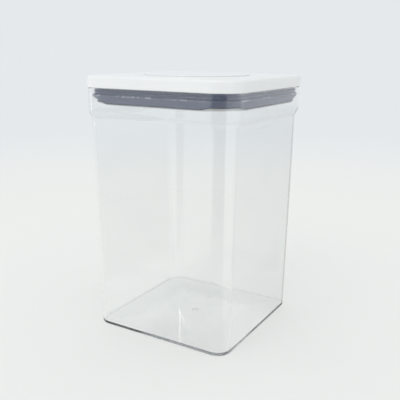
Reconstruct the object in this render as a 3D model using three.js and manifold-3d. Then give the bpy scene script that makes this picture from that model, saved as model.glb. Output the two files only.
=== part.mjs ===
// A square push-button storage canister: a clear moulded body, and a white lid whose round button drives
// four slides that press a soft seal against the inside of the mouth.
// Millimetres, +Z up, origin at the centre of the foot. The front of the canister faces -Y.
import * as THREE from 'three';
import { mergeVertices } from 'three/addons/utils/BufferGeometryUtils.js';
import Module from 'manifold-3d';

const wasm = await Module();
wasm.setup();

// Clearance between pieces that touch or slide on each other
const FIT = 0.3;

// Canister body: MOUTH_HALF is half its width over the mouth, corners are outer radii
const BODY_HEIGHT = 230.2;
const MOUTH_HALF = 78.2;
const FLARE = 3.4;
const DRAFT = 3.3;
const MOUTH_CORNER = 21.5;
const SHOULDER_CORNER = 16.5;
const FOOT_CORNER = 13.5;
const WALL = 2.2;
const MOUTH_WALL = 3.3;
const FLOOR = 2.2;
const MOUTH_MARGIN = 3.9;
const FLARE_HEIGHT = 10;
const FOOT_FILLET = 1.5;
const FOOT_WIDTH = 6;
const FLOOR_RISE = 0.6;
const FLOOR_RISE_RUN = 16;
const FLOOR_FILLET = 2;
const RIM_ROUND = 0.8;
const LEAST_CORNER = 0.5;

// Lid cover
const LID_OVERHANG = 1.2;
const COVER_WALL = 2.2;
const COVER_PLATE = 3;
const COVER_FALL = 0.2;
const COVER_EDGE = 2;
const SKIRT_ROUND = 0.5;
const WELL_GAP = 0.6;
const WELL_EDGE = 0.8;

// Seal carrier and closing plate: CORE_CORNER is the radius of the carrier's corners below its flange
const FLANGE = 3;
const CORE_CORNER = 22.5;
const CORE_WALL = 2.2;
const CARRIER_FLOOR = 1.6;
const PLATE = 1.8;
const PLATE_EDGE = 0.45;
const PLATE_LEDGE = 3.2;
const PLATE_PANEL = 0.4;
const PLATE_BORDER = 9;
const HOOK_WIDTH = 10;
const HOOK_THICK = 1.6;
const HOOK_NIB = 0.9;

// Seal ring: its foot, neck and bead are set back from the lip that meets the mouth. Its foot is higher
// in the corners, and rises over a share of their radius
const SEAL_THICK = 4.3;
const SEAL_LIP_DROP = 6.3;
const SEAL_LIP_HEIGHT = 1.1;
const SEAL_FOOT_INSET = 1.1;
const SEAL_FOOT_ROUND = 0.7;
const SEAL_FOOT_RISE = 1.6;
const SEAL_RISE_SHARE = 1 / 3;
const SEAL_NECK_INSET = 2.5;
const SEAL_BEAD_INSET = 1.5;
const SEAL_BEAD_HEIGHT = 1.2;

// Button, whose skirt is the cam: it narrows downwards by CAM_SLOPE
const BUTTON_RADIUS = 49;
const BUTTON_PROUD = 0.9;
const BUTTON_EDGE = 0.7;
const BUTTON_DISH = 0.5;
const BUTTON_PLATE = 2.4;
const BUTTON_WALL = 2;
const BUTTON_TRAVEL = 12;
const BUTTON_PRESS = 1.5;
const CAM_SLOPE = 1 / 8;
const STOP_GAP = 0.5;

// Pushers: a slide plate on the carrier's flange, a leg through it and a bar behind the seal
const SLIDE = 4;
const SLIDE_WIDTH = 48;
const LEG = 4;
const LEG_SETBACK = 1.4;
const BAR_END = 4;
const BAR_HEIGHT = 6.4;
const BAR_NOSE = 0.9;
const RIB = 1.5;

// Latch post and its boss, the wire that holds it, and the spring that lifts it
const POST_HALF = 7.5;
const POST_CORNER = 1.2;
const POST_BORE = 4.5;
const POST_WEB = 4;
const POST_LAND = 1.05;
const BOSS_LENGTH = 8;
const TUBE_WALL = 1.8;
const WIRE = 1.4;
const WIRE_BEND = 2.8;
const WIRE_SOCKET = 5.5;
const SOCKET_WALL = 1.4;
const TRACK_DEPTH = 1.8;
const TRACK_PLAY = 0.8;
const TRACK_SWING = 3;
const SPRING_SPACE = 2.6;
const SPRING_WIRE = 1.4;
const SPRING_TURNS = 5.5;
const SPRING_END_GAP = 0.6;
const SEAT_WALL = 1.2;

// Screws
const SCREW_RADIUS = 1.3;
const SCREW_HEAD_RADIUS = 2.8;
const SCREW_HEAD = 2;
const SCREW_HEAD_ROUND = 0.7;
const SCREW_TIP = 1.2;
const SCREW_WEB = 3;
const SCREW_BITE = 7;
const COVER_BOSS = 3.6;
const COVER_BOSS_LENGTH = 10;
const BOSS_WALL = 1.3;

// Facets of the corners, of a side that meets a round well, and of round pieces
const CORNER_STEPS = 7;
const SIDE_STEPS = 10;
const ROUND_STEPS = 48;
const SMALL_STEPS = 16;
const FILLET_STEPS = 3;
const DISH_STEPS = 3;
const CURL_STEPS = 16;
const CURL_SIDES = 5;
const WIRE_STEPS = 24;

// Heights of the lid, from the rim of the canister up to the button
const flangeBottom = BODY_HEIGHT + FIT;
const flangeTop = flangeBottom + FLANGE;
const slideBottom = flangeTop + FIT;
const slideTop = slideBottom + SLIDE;
const coverUnder = slideTop + FIT;
const coverTop = coverUnder + COVER_PLATE;
const skirtBottom = flangeBottom;
const buttonTop = coverTop + BUTTON_PROUD;
const camTop = buttonTop - BUTTON_EDGE;
const capUnder = buttonTop - BUTTON_DISH - BUTTON_PLATE;

// Heights of the latch, from the button down to the closing plate
const trackWidth = WIRE + TRACK_PLAY;
const postTop = capUnder - FIT;
const latchHeight = postTop - POST_LAND - TRACK_SWING;
const trackBottom = latchHeight - BUTTON_TRAVEL;
const postBottom = trackBottom - trackWidth / 2 - POST_LAND;
const camBottom = postBottom;
const floorTop = postBottom - BUTTON_PRESS - STOP_GAP;
const floorBottom = floorTop - CARRIER_FLOOR;
const plateTop = floorBottom - FIT;
const plateBottom = plateTop - PLATE;
const tubeTop = capUnder - BUTTON_PRESS - STOP_GAP;
const bossBottom = capUnder - BOSS_LENGTH;
const postWebTop = bossBottom - FIT;
const postWebBottom = postWebTop - POST_WEB;
const sealBottom = plateTop + FIT;
const sealTop = flangeBottom - FIT;
const barBottom = floorTop + FIT;
const barTop = barBottom + BAR_HEIGHT;
const bossEnd = coverUnder - COVER_BOSS_LENGTH;
const screwWebTop = bossEnd - FIT;
const screwWebBottom = screwWebTop - SCREW_WEB;

// Heights of the canister's flare, which starts below the closing plate
const flareTop = plateBottom - MOUTH_MARGIN;
const flareBottom = flareTop - FLARE_HEIGHT;

// Half widths and radii
const shoulderHalf = MOUTH_HALF - FLARE;
const footHalf = shoulderHalf - DRAFT;
const lidHalf = MOUTH_HALF + LID_OVERHANG;
const flangeHalf = lidHalf - COVER_WALL - FIT;
const sealHalf = MOUTH_HALF - MOUTH_WALL - FIT;
const sealInner = sealHalf - SEAL_THICK;
const coreHalf = sealInner - FIT;
const plateHalf = sealInner + PLATE_LEDGE;
const wellRadius = BUTTON_RADIUS + WELL_GAP;
const pusherTravel = BUTTON_TRAVEL * CAM_SLOPE;
const pusherPress = BUTTON_PRESS * CAM_SLOPE;
const legOuter = coreHalf - LEG_SETBACK;
const legInner = legOuter - LEG;
const slotInner = legInner - pusherTravel - FIT;
const barHalf = coreHalf - CORE_CORNER - BAR_END;
const hookMiddle = (camRadius(camBottom) + slotInner) / 2;
const tubeInner = POST_HALF + FIT;
const tubeOuter = tubeInner + TUBE_WALL;
const wireY = -(tubeOuter + FIT + WIRE / 2);
const socketHalf = WIRE / 2 + FIT + SOCKET_WALL;
const springRadius = Math.hypot(socketHalf, socketHalf - wireY) + SPRING_SPACE + SPRING_WIRE / 2;
const seatRadius = springRadius + SPRING_WIRE / 2 + FIT;
const screwSpread = MOUTH_HALF - MOUTH_CORNER;
const screwBore = SCREW_RADIUS + FIT;
const screwTube = COVER_BOSS + FIT + BOSS_WALL;

const UP = new THREE.Vector3(0, 0, 1);
const QUARTERS = [0, 1, 2, 3].map((side) => (side * Math.PI) / 2);
const CORNERS = [[1, 1], [-1, 1], [-1, -1], [1, -1]];

// Radius of the lid's and the mouth's corners, which all share one centre.
function cornerAt(half) {
  return Math.max(MOUTH_CORNER + half - MOUTH_HALF, LEAST_CORNER);
}

// Square outline with round corners at height z, as points going round anticlockwise.
function squareRing(half, corner, z, sideSteps = 1) {
  const centre = half - corner;
  const quarter = [];
  for (let step = 1; step <= sideSteps; step++) {
    quarter.push(new THREE.Vector3(half, centre * ((2 * step) / sideSteps - 1), z));
  }
  for (let step = 1; step <= CORNER_STEPS; step++) {
    const angle = ((Math.PI / 2) * step) / CORNER_STEPS;
    quarter.push(new THREE.Vector3(centre + corner * Math.cos(angle), centre + corner * Math.sin(angle), z));
  }
  return QUARTERS.flatMap((turn) => quarter.map((point) => point.clone().applyAxisAngle(UP, turn)));
}

// Ring round the carrier's core, whose corners can stand higher than its sides.
function coreRing(half, z, rise = 0) {
  const corner = Math.max(CORE_CORNER + half - coreHalf, LEAST_CORNER);
  const start = half - corner;
  return squareRing(half, corner, z).map((point) => {
    const reach = Math.min(Math.abs(point.x), Math.abs(point.y));
    return point.setZ(z + rise * THREE.MathUtils.smoothstep(reach, start, start + corner * SEAL_RISE_SHARE));
  });
}

// Circle whose points lie at the same bearings as those of another ring.
function roundRing(radius, z, like) {
  return like.map((point) => {
    const bearing = Math.atan2(point.y, point.x);
    return new THREE.Vector3(radius * Math.cos(bearing), radius * Math.sin(bearing), z);
  });
}

// Closed skin through rings of equal length. A looped stack joins its last ring to its first, and an
// open one has a flat end on its first and last ring.
function loft(rings, looped = false) {
  const count = rings[0].length;
  const index = [];
  const spans = looped ? rings.length : rings.length - 1;
  for (let span = 0; span < spans; span++) {
    const low = span * count;
    const high = ((span + 1) % rings.length) * count;
    for (let i = 0; i < count; i++) {
      const j = (i + 1) % count;
      index.push(low + i, low + j, high + j, low + i, high + j, high + i);
    }
  }
  const end = (rings.length - 1) * count;
  for (let i = 1; i < count - 1 && !looped; i++) {
    index.push(0, i + 1, i, end, end + i, end + i + 1);
  }
  const points = rings.flat().flatMap((point) => [point.x, point.y, point.z]);
  return new THREE.BufferGeometry()
    .setAttribute('position', new THREE.Float32BufferAttribute(points, 3))
    .setIndex(index);
}

// Quarter round from [half, z] as rings' half widths and heights, bulging away from its centre.
function quarterRound(centreHalf, centreZ, radius, fromAngle) {
  return Array.from({ length: FILLET_STEPS + 1 }, (_, step) => {
    const angle = fromAngle + ((Math.PI / 2) * step) / FILLET_STEPS;
    return [centreHalf + radius * Math.cos(angle), centreZ + radius * Math.sin(angle)];
  });
}

// Revolved profile of [radius, z] pairs about the Z axis, moved to x, y.
function turned(profile, steps, x = 0, y = 0) {
  const points = profile.map(([radius, z]) => new THREE.Vector2(radius, z));
  return new THREE.LatheGeometry(points, steps).rotateX(Math.PI / 2).translate(x, y, 0);
}

// Upright solid cylinder.
function rod(radius, low, high, x = 0, y = 0, steps = SMALL_STEPS) {
  return turned([[0, low], [radius, low], [radius, high], [0, high]], steps, x, y);
}

// Upright tube.
function pipe(inner, outer, low, high, steps = ROUND_STEPS) {
  return turned([[inner, low], [outer, low], [outer, high], [inner, high], [inner, low]], steps);
}

// Box between two corners.
function block(low, high) {
  const size = high.map((value, axis) => value - low[axis]);
  const middle = high.map((value, axis) => (value + low[axis]) / 2);
  return new THREE.BoxGeometry(...size).translate(...middle);
}

// Outline of [x, z] pairs carried along Y, centred on it.
function carriedAlongY(outline, length, holes = []) {
  const shape = new THREE.Shape(outline.map(([x, z]) => new THREE.Vector2(x, z)));
  shape.holes = holes.map((hole) => new THREE.Path(hole.map(([x, z]) => new THREE.Vector2(x, z))));
  return new THREE.ExtrudeGeometry(shape, { depth: length, bevelEnabled: false })
    .rotateX(Math.PI / 2)
    .translate(0, length / 2, 0);
}

function solid(geometry) {
  const bare = geometry.clone();
  bare.deleteAttribute('normal');
  bare.deleteAttribute('uv');
  const merged = mergeVertices(bare, 1e-4);
  return new wasm.Manifold(new wasm.Mesh({
    numProp: 3,
    vertProperties: new Float32Array(merged.attributes.position.array),
    triVerts: new Uint32Array(merged.index.array),
  }));
}

function join(geometries) {
  return geometries.map(solid).reduce((whole, next) => whole.add(next));
}

function cut(whole, geometries) {
  return geometries.map(solid).reduce((rest, next) => rest.subtract(next), whole);
}

function geometryOf(body) {
  const mesh = body.getMesh();
  return new THREE.BufferGeometry()
    .setAttribute('position', new THREE.BufferAttribute(new Float32Array(mesh.vertProperties), 3))
    .setIndex(new THREE.BufferAttribute(new Uint32Array(mesh.triVerts), 1));
}

// The same cut on each of the four sides.
function onFourSides(geometry) {
  return QUARTERS.map((turn) => geometry.clone().rotateZ(turn));
}

// Clear body: drafted walls, a flare to the mouth, a flat foot round a floor that rises a little.
function canisterBody() {
  const flareSteps = 2 * FILLET_STEPS;
  const sizeAt = (z) => {
    const climb = THREE.MathUtils.clamp(z / flareBottom, 0, 1);
    const flare = THREE.MathUtils.smoothstep(z, flareBottom, flareTop);
    return {
      half: THREE.MathUtils.lerp(THREE.MathUtils.lerp(footHalf, shoulderHalf, climb), MOUTH_HALF, flare),
      corner: THREE.MathUtils.lerp(
        THREE.MathUtils.lerp(FOOT_CORNER, SHOULDER_CORNER, climb), MOUTH_CORNER, flare),
      wall: THREE.MathUtils.lerp(WALL, MOUTH_WALL, flare),
    };
  };
  // A ring at height z, set in from the outer wall.
  const ringAt = (z, inset) => {
    const { half, corner } = sizeAt(z);
    return squareRing(half - inset, Math.max(corner - inset, LEAST_CORNER), z);
  };
  const flareHeights = Array.from({ length: flareSteps + 1 },
    (_, step) => flareBottom + (FLARE_HEIGHT * step) / flareSteps);
  const footInset = FOOT_FILLET + FOOT_WIDTH;
  const riseInset = footInset + FLOOR_RISE_RUN;
  const foot = quarterRound(-FOOT_FILLET, FOOT_FILLET, FOOT_FILLET, -Math.PI / 2);
  const rim = quarterRound(-RIM_ROUND, BODY_HEIGHT - RIM_ROUND, RIM_ROUND, 0);
  const rimInside = quarterRound(RIM_ROUND - MOUTH_WALL, BODY_HEIGHT - RIM_ROUND, RIM_ROUND, Math.PI / 2);
  const floorRound = quarterRound(-WALL - FLOOR_FILLET, FLOOR + FLOOR_FILLET, FLOOR_FILLET, -Math.PI / 2);
  return loft([
    ringAt(FLOOR_RISE, riseInset),
    ringAt(0, footInset),
    ...foot.map(([offset, z]) => ringAt(z, -offset)),
    ...flareHeights.map((z) => ringAt(z, 0)),
    ...rim.map(([offset, z]) => ringAt(z, -offset)),
    ...rimInside.map(([offset, z]) => ringAt(z, -offset)),
    ...flareHeights.toReversed().map((z) => ringAt(z, sizeAt(z).wall)),
    ...floorRound.toReversed().map(([offset, z]) => ringAt(z, -offset)),
    ringAt(FLOOR, footInset),
    ringAt(FLOOR + FLOOR_RISE, riseInset),
  ]);
}

// White cover: a short skirt, a top that falls a little towards its edge, a round well, four bosses.
function lidCover() {
  const edgeTop = coverTop - COVER_FALL;
  const ringAt = (half, z) => squareRing(half, cornerAt(half), z, SIDE_STEPS);
  const outer = ringAt(lidHalf, edgeTop);
  const inside = lidHalf - COVER_WALL;
  const edge = quarterRound(lidHalf - COVER_EDGE, edgeTop - COVER_EDGE, COVER_EDGE, 0);
  const shell = loft([
    ringAt(lidHalf - SKIRT_ROUND, skirtBottom),
    ringAt(lidHalf, skirtBottom + SKIRT_ROUND),
    ...edge.map(([half, z]) => ringAt(half, z)),
    roundRing(wellRadius + WELL_EDGE, coverTop, outer),
    roundRing(wellRadius, coverTop - WELL_EDGE, outer),
    roundRing(wellRadius, coverUnder, outer),
    ringAt(inside, coverUnder),
    ringAt(inside, skirtBottom),
  ], true);
  const bosses = CORNERS.map(([x, y]) =>
    rod(COVER_BOSS, bossEnd, coverUnder + FIT, x * screwSpread, y * screwSpread));
  const pilots = CORNERS.map(([x, y]) =>
    rod(screwBore, bossEnd - FIT, bossEnd + SCREW_BITE + FIT, x * screwSpread, y * screwSpread));
  return geometryOf(cut(join([shell, ...bosses]), pilots));
}

// Spool inside the lid: floor, corner walls, flange on the rim, post guide, wire socket, screw tubes.
function sealCarrier() {
  const ringAt = (half, z) => squareRing(half, cornerAt(half), z, SIDE_STEPS);
  const outer = ringAt(flangeHalf, flangeTop);
  const flange = loft([
    ringAt(flangeHalf, flangeBottom),
    outer,
    roundRing(wellRadius, flangeTop, outer),
    roundRing(wellRadius, flangeBottom, outer),
  ], true);
  const sunk = flangeBottom + FLANGE / 2;
  const core = loft([
    coreRing(coreHalf, floorBottom),
    coreRing(coreHalf, sunk),
    coreRing(coreHalf - CORE_WALL, sunk),
    coreRing(coreHalf - CORE_WALL, floorBottom),
  ], true);
  const floor = loft([coreRing(coreHalf, floorBottom), coreRing(coreHalf, floorTop)]);
  const guide = loft([
    squareRing(tubeOuter, POST_CORNER + TUBE_WALL, floorBottom),
    squareRing(tubeOuter, POST_CORNER + TUBE_WALL, tubeTop),
  ]);
  const socket = block(
    [-socketHalf, wireY - socketHalf, floorBottom],
    [socketHalf, -tubeInner, floorTop + WIRE_SOCKET]);
  const seat = pipe(seatRadius, seatRadius + SEAT_WALL, floorBottom, floorTop + SEAT_WALL);
  const tubes = CORNERS.map(([x, y]) =>
    rod(screwTube, floorBottom, sunk, x * screwSpread, y * screwSpread));
  const ribOffset = SLIDE_WIDTH / 2 + FIT;
  const ribs = [-1, 1].flatMap((way) => onFourSides(block(
    [wellRadius + RIB, way > 0 ? ribOffset : -ribOffset - RIB, sunk],
    [legInner - pusherTravel, way > 0 ? ribOffset + RIB : -ribOffset, slideTop])));

  const windowHalf = barHalf + 2 * FIT;
  const slotHalf = SLIDE_WIDTH / 2 + 2 * FIT;
  const windows = onFourSides(block(
    [slotInner, -windowHalf, floorTop], [sealInner, windowHalf, flangeBottom]));
  const slots = onFourSides(block(
    [slotInner, -slotHalf, barTop], [legOuter + pusherPress + FIT, slotHalf, flangeTop + FIT]));
  const hookSlots = onFourSides(block(
    [hookMiddle - HOOK_THICK / 2 - FIT, -HOOK_WIDTH / 2 - FIT, floorBottom - FIT],
    [hookMiddle + HOOK_THICK / 2 + HOOK_NIB + FIT, HOOK_WIDTH / 2 + FIT, floorTop + FIT]));
  const guideBore = loft([
    squareRing(tubeInner, POST_CORNER, floorTop),
    squareRing(tubeInner, POST_CORNER, tubeTop + FIT),
  ]);
  const swing = TRACK_SWING + WIRE / 2 + FIT;
  const wireSlot = block(
    [-swing, -tubeOuter - FIT, latchHeight - WIRE_BEND - WIRE], [swing, -POST_HALF, tubeTop + FIT]);
  const wireHole = rod(WIRE / 2 + FIT, floorTop, floorTop + WIRE_SOCKET + FIT, 0, wireY);
  const screwBores = CORNERS.flatMap(([x, y]) => [
    rod(SCREW_HEAD_RADIUS + 2 * FIT, floorBottom - FIT, screwWebBottom, x * screwSpread, y * screwSpread),
    rod(screwBore, floorBottom - FIT, flangeTop, x * screwSpread, y * screwSpread),
    rod(COVER_BOSS + FIT, screwWebTop, flangeTop + FIT, x * screwSpread, y * screwSpread),
  ]);
  return geometryOf(cut(
    join([flange, core, floor, guide, socket, seat, ...tubes, ...ribs]),
    [...windows, ...slots, ...hookSlots, guideBore, wireSlot, wireHole, ...screwBores]));
}

// Food-side plate under the lid, held by four hooks in the carrier's floor, with a shallow panel below
// and corners that stand up under the seal's.
function closingPlate() {
  const plate = loft([
    coreRing(plateHalf - PLATE_BORDER - PLATE_PANEL, plateBottom + PLATE_PANEL),
    coreRing(plateHalf - PLATE_BORDER, plateBottom),
    coreRing(plateHalf - PLATE_EDGE, plateBottom),
    coreRing(plateHalf, plateBottom + PLATE_EDGE),
    coreRing(plateHalf, plateTop - PLATE_EDGE, SEAL_FOOT_RISE),
    coreRing(plateHalf - PLATE_EDGE, plateTop, SEAL_FOOT_RISE),
    coreRing(sealInner + FIT, plateTop, SEAL_FOOT_RISE),
    coreRing(sealInner, plateTop),
  ]);
  const inner = hookMiddle - HOOK_THICK / 2;
  const outer = hookMiddle + HOOK_THICK / 2;
  const catchZ = floorTop + FIT;
  const hook = carriedAlongY([
    [inner, plateBottom + PLATE / 2],
    [outer, plateBottom + PLATE / 2],
    [outer, catchZ],
    [outer + HOOK_NIB, catchZ],
    [outer, catchZ + 2 * HOOK_NIB],
    [inner, catchZ + 2 * HOOK_NIB],
  ], HOOK_WIDTH);
  return geometryOf(join([plate, ...onFourSides(hook)]));
}

// Soft seal: a flared lip that meets the mouth, a recessed neck with a bead above it. Its lip and neck
// follow the mouth's corners, and its foot and inside follow the carrier's.
function gasket() {
  const lip = flangeBottom - SEAL_LIP_DROP;
  const neck = sealHalf - SEAL_NECK_INSET;
  const foot = sealHalf - SEAL_FOOT_INSET;
  const neckLow = lip + SEAL_NECK_INSET;
  const mouthSide = [
    [sealHalf, lip - SEAL_LIP_HEIGHT],
    [sealHalf, lip],
    [neck, lip + SEAL_LIP_HEIGHT],
    [neck, neckLow],
    [sealHalf - SEAL_BEAD_INSET, neckLow + SEAL_BEAD_HEIGHT / 2],
    [neck, neckLow + SEAL_BEAD_HEIGHT],
    [neck, sealTop],
  ];
  return loft([
    coreRing(sealInner, sealBottom, SEAL_FOOT_RISE),
    coreRing(foot - SEAL_FOOT_ROUND, sealBottom, SEAL_FOOT_RISE),
    coreRing(foot, sealBottom + SEAL_FOOT_ROUND, SEAL_FOOT_RISE),
    ...mouthSide.map(([half, z]) => squareRing(half, cornerAt(half), z)),
    coreRing(sealInner, sealTop),
  ], true);
}

// Radius of the button's cam skirt at height z, with the button down.
function camRadius(z) {
  return BUTTON_RADIUS - (camTop - z) * CAM_SLOPE;
}

// Round button: dished top, rounded edge, skirt that narrows downwards, spring seat and post boss below.
function buttonCap() {
  const edge = quarterRound(BUTTON_RADIUS - BUTTON_EDGE, camTop, BUTTON_EDGE, 0);
  const dish = Array.from({ length: DISH_STEPS }, (_, step) => {
    const share = 1 - (step + 1) / DISH_STEPS;
    return [(BUTTON_RADIUS - BUTTON_EDGE) * share, buttonTop - BUTTON_DISH * (1 - share ** 2)];
  });
  const cap = turned([
    [0, capUnder],
    [camRadius(capUnder) - BUTTON_WALL, capUnder],
    [camRadius(camBottom) - BUTTON_WALL, camBottom],
    [camRadius(camBottom), camBottom],
    ...edge,
    ...dish,
  ], ROUND_STEPS);
  const sunk = capUnder + BUTTON_PLATE / 2;
  const boss = rod(POST_BORE - FIT, bossBottom, sunk);
  const seat = pipe(seatRadius, seatRadius + SEAT_WALL, capUnder - SEAT_WALL, sunk);
  const pilot = rod(screwBore, bossBottom - FIT, bossBottom + SCREW_BITE + FIT);
  return geometryOf(cut(join([cap, boss, seat]), [pilot]));
}

// Pusher on the +X side: its slide end follows the cam skirt, its bar backs the seal.
function pusher() {
  const slide = carriedAlongY([
    [legInner, barBottom],
    [legOuter, barBottom],
    [legOuter, slideTop],
    [camRadius(camBottom) - BUTTON_WALL, slideTop],
    [camRadius(camBottom) - BUTTON_WALL, slideBottom],
    [legInner, slideBottom],
  ], SLIDE_WIDTH);
  const bar = carriedAlongY([
    [legInner, barBottom],
    [coreHalf - BAR_NOSE, barBottom],
    [coreHalf, barBottom + 2 * BAR_NOSE],
    [coreHalf, barTop - 2 * BAR_NOSE],
    [coreHalf - BAR_NOSE, barTop],
    [legInner, barTop],
  ], 2 * barHalf);
  const cam = turned([
    [0, camBottom],
    [camRadius(camBottom) + FIT, camBottom],
    [camRadius(camTop) + FIT, camTop],
    [0, camTop],
  ], 2 * ROUND_STEPS);
  return geometryOf(cut(join([slide, bar]), [cam]));
}

// Square post under the button, with a closed heart-shaped track on its front for the latch wire.
function latchPost() {
  const bar = loft([
    squareRing(POST_HALF, POST_CORNER, postBottom),
    squareRing(POST_HALF, POST_CORNER, postTop),
  ]);
  const edge = trackWidth / 2;
  const wide = TRACK_SWING + edge;
  const narrow = TRACK_SWING - edge;
  const bottomRound = Array.from({ length: 2 * FILLET_STEPS + 1 }, (_, step) => {
    const angle = Math.PI + (Math.PI * step) / (2 * FILLET_STEPS);
    return [edge * Math.cos(angle), trackBottom + edge * Math.sin(angle)];
  });
  const outline = [
    ...bottomRound,
    [wide, trackBottom + wide + edge],
    [wide, latchHeight + edge],
    [TRACK_SWING / 2, latchHeight + TRACK_SWING],
    [edge / 2, latchHeight + narrow],
    [-TRACK_SWING / 2, latchHeight + TRACK_SWING],
    [-wide, latchHeight + edge],
    [-wide, trackBottom + wide + edge],
  ];
  const notch = latchHeight - (WIRE / 2 + FIT) * Math.SQRT2;
  const heart = [
    [0, trackBottom + 2 * edge],
    [-narrow, trackBottom + wide + 2 * edge],
    [-narrow, notch + narrow],
    [0, notch],
    [narrow, notch + narrow],
    [narrow, trackBottom + wide + 2 * edge],
  ];
  const track = carriedAlongY(outline, 2 * TRACK_DEPTH, [heart]).translate(0, -POST_HALF, 0);
  return geometryOf(cut(solid(bar), [
    track,
    rod(POST_BORE, postWebTop, postTop + FIT, 0, 0, ROUND_STEPS / 2),
    rod(POST_BORE, postBottom - FIT, postWebBottom, 0, 0, ROUND_STEPS / 2),
    rod(screwBore, postBottom - FIT, postTop + FIT),
  ]));
}

// Steel wire that stands in the carrier's socket and reaches into the track on the post.
function latchWire() {
  const tipY = -(POST_HALF - TRACK_DEPTH + 2 * FIT);
  const inBend = WIRE_BEND * (1 - Math.SQRT1_2);
  const path = new THREE.CatmullRomCurve3([
    new THREE.Vector3(0, wireY, floorTop + FIT),
    new THREE.Vector3(0, wireY, floorTop + WIRE_SOCKET),
    new THREE.Vector3(0, wireY, latchHeight - WIRE_BEND),
    new THREE.Vector3(0, wireY + inBend, latchHeight - inBend),
    new THREE.Vector3(0, wireY + WIRE_BEND, latchHeight),
    new THREE.Vector3(0, tipY, latchHeight),
  ], false, 'centripetal');
  const section = new THREE.Shape().absarc(0, 0, WIRE / 2, 0, 2 * Math.PI);
  return new THREE.ExtrudeGeometry(section, { steps: WIRE_STEPS, curveSegments: 4, extrudePath: path });
}

// Coil spring: one unbroken tube, its pitch drawn in over one turn at each end.
function popSpring() {
  const low = floorTop + FIT + SPRING_WIRE / 2;
  const high = capUnder - FIT - SPRING_WIRE / 2;
  const endPitch = SPRING_WIRE + SPRING_END_GAP;
  const openPitch = (high - low - 2 * endPitch) / (SPRING_TURNS - 2);
  const heightAt = (turn) => low + endPitch * Math.min(turn, 1)
    + openPitch * THREE.MathUtils.clamp(turn - 1, 0, SPRING_TURNS - 2)
    + endPitch * Math.max(turn - SPRING_TURNS + 1, 0);
  const centres = Array.from({ length: SPRING_TURNS * CURL_STEPS + 1 }, (_, step) => {
    const bearing = (2 * Math.PI * step) / CURL_STEPS;
    return new THREE.Vector3(
      springRadius * Math.cos(bearing), springRadius * Math.sin(bearing), heightAt(step / CURL_STEPS));
  });
  const rings = centres.map((centre, step) => {
    const bearing = (2 * Math.PI * step) / CURL_STEPS;
    const outwards = new THREE.Vector3(Math.cos(bearing), Math.sin(bearing), 0);
    return Array.from({ length: CURL_SIDES }, (_, side) => {
      const angle = (-2 * Math.PI * side) / CURL_SIDES;
      return centre.clone()
        .addScaledVector(outwards, (SPRING_WIRE / 2) * Math.cos(angle))
        .addScaledVector(UP, (SPRING_WIRE / 2) * Math.sin(angle));
    });
  });
  let leastGap = Infinity;
  centres.forEach((centre, step) => centres.slice(step + CURL_STEPS / 2).forEach((other) => {
    leastGap = Math.min(leastGap, centre.distanceTo(other) - SPRING_WIRE);
  }));
  console.log(`pop_spring: least gap between curls ${leastGap.toFixed(2)} mm`);
  return loft(rings);
}

// Pan-head screw standing head down: the head's top is at headTop and the shank reaches to tip.
function screw(headTop, tip) {
  return turned([
    [0, headTop - SCREW_HEAD],
    [SCREW_HEAD_RADIUS - SCREW_HEAD_ROUND, headTop - SCREW_HEAD],
    [SCREW_HEAD_RADIUS, headTop - SCREW_HEAD + SCREW_HEAD_ROUND],
    [SCREW_HEAD_RADIUS, headTop],
    [SCREW_RADIUS, headTop],
    [SCREW_RADIUS, tip - SCREW_TIP],
    [0, tip],
  ], SMALL_STEPS);
}

const finish = (color, roughness, metalness = 0) => ({ color, roughness, metalness });
const CLEAR = { ...finish(0xeef3f4, 0.08), transparent: true, opacity: 0.22 };
const WHITE = finish(0xf1f3f2, 0.28);
const GREY_SILICONE = finish(0x7d8190, 0.55);
const NATURAL = finish(0xe4e2d8, 0.4);
const STEEL = finish(0xb9bcc0, 0.3, 1);

const canister = new THREE.Group();

function add(name, geometry, look) {
  geometry.computeVertexNormals();
  const mesh = new THREE.Mesh(geometry, new THREE.MeshStandardMaterial(look));
  mesh.name = name;
  canister.add(mesh);
  return mesh;
}

add('canister_body', canisterBody(), CLEAR);
add('lid_cover', lidCover(), WHITE);
add('seal_carrier', sealCarrier(), WHITE);
add('closing_plate', closingPlate(), WHITE);
add('gasket', gasket(), GREY_SILICONE);
add('button_cap', buttonCap(), WHITE);
add('latch_post', latchPost(), NATURAL);
add('post_screw', screw(postWebBottom - FIT, bossBottom + SCREW_BITE), STEEL);
add('pop_spring', popSpring(), STEEL);
add('latch_wire', latchWire(), STEEL);
['right', 'back', 'left', 'front'].forEach((side, quarter) => {
  add(`pusher_${side}`, pusher(), NATURAL).rotation.z = QUARTERS[quarter];
});
CORNERS.forEach(([x, y], corner) => {
  add(`cover_screw_${corner + 1}`, screw(screwWebBottom - FIT, bossEnd + SCREW_BITE), STEEL)
    .position.set(x * screwSpread, y * screwSpread, 0);
});

export default canister;
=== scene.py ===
"""Looks of a square push-button canister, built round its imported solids.

The clear body, the white lid, the button, the seal, the closing plate and the small steel pieces are worked
out here as fine surfaces, in millimetres, and put into meshes in metres. +Z is up and the front faces -Y.
"""
import math

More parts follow.
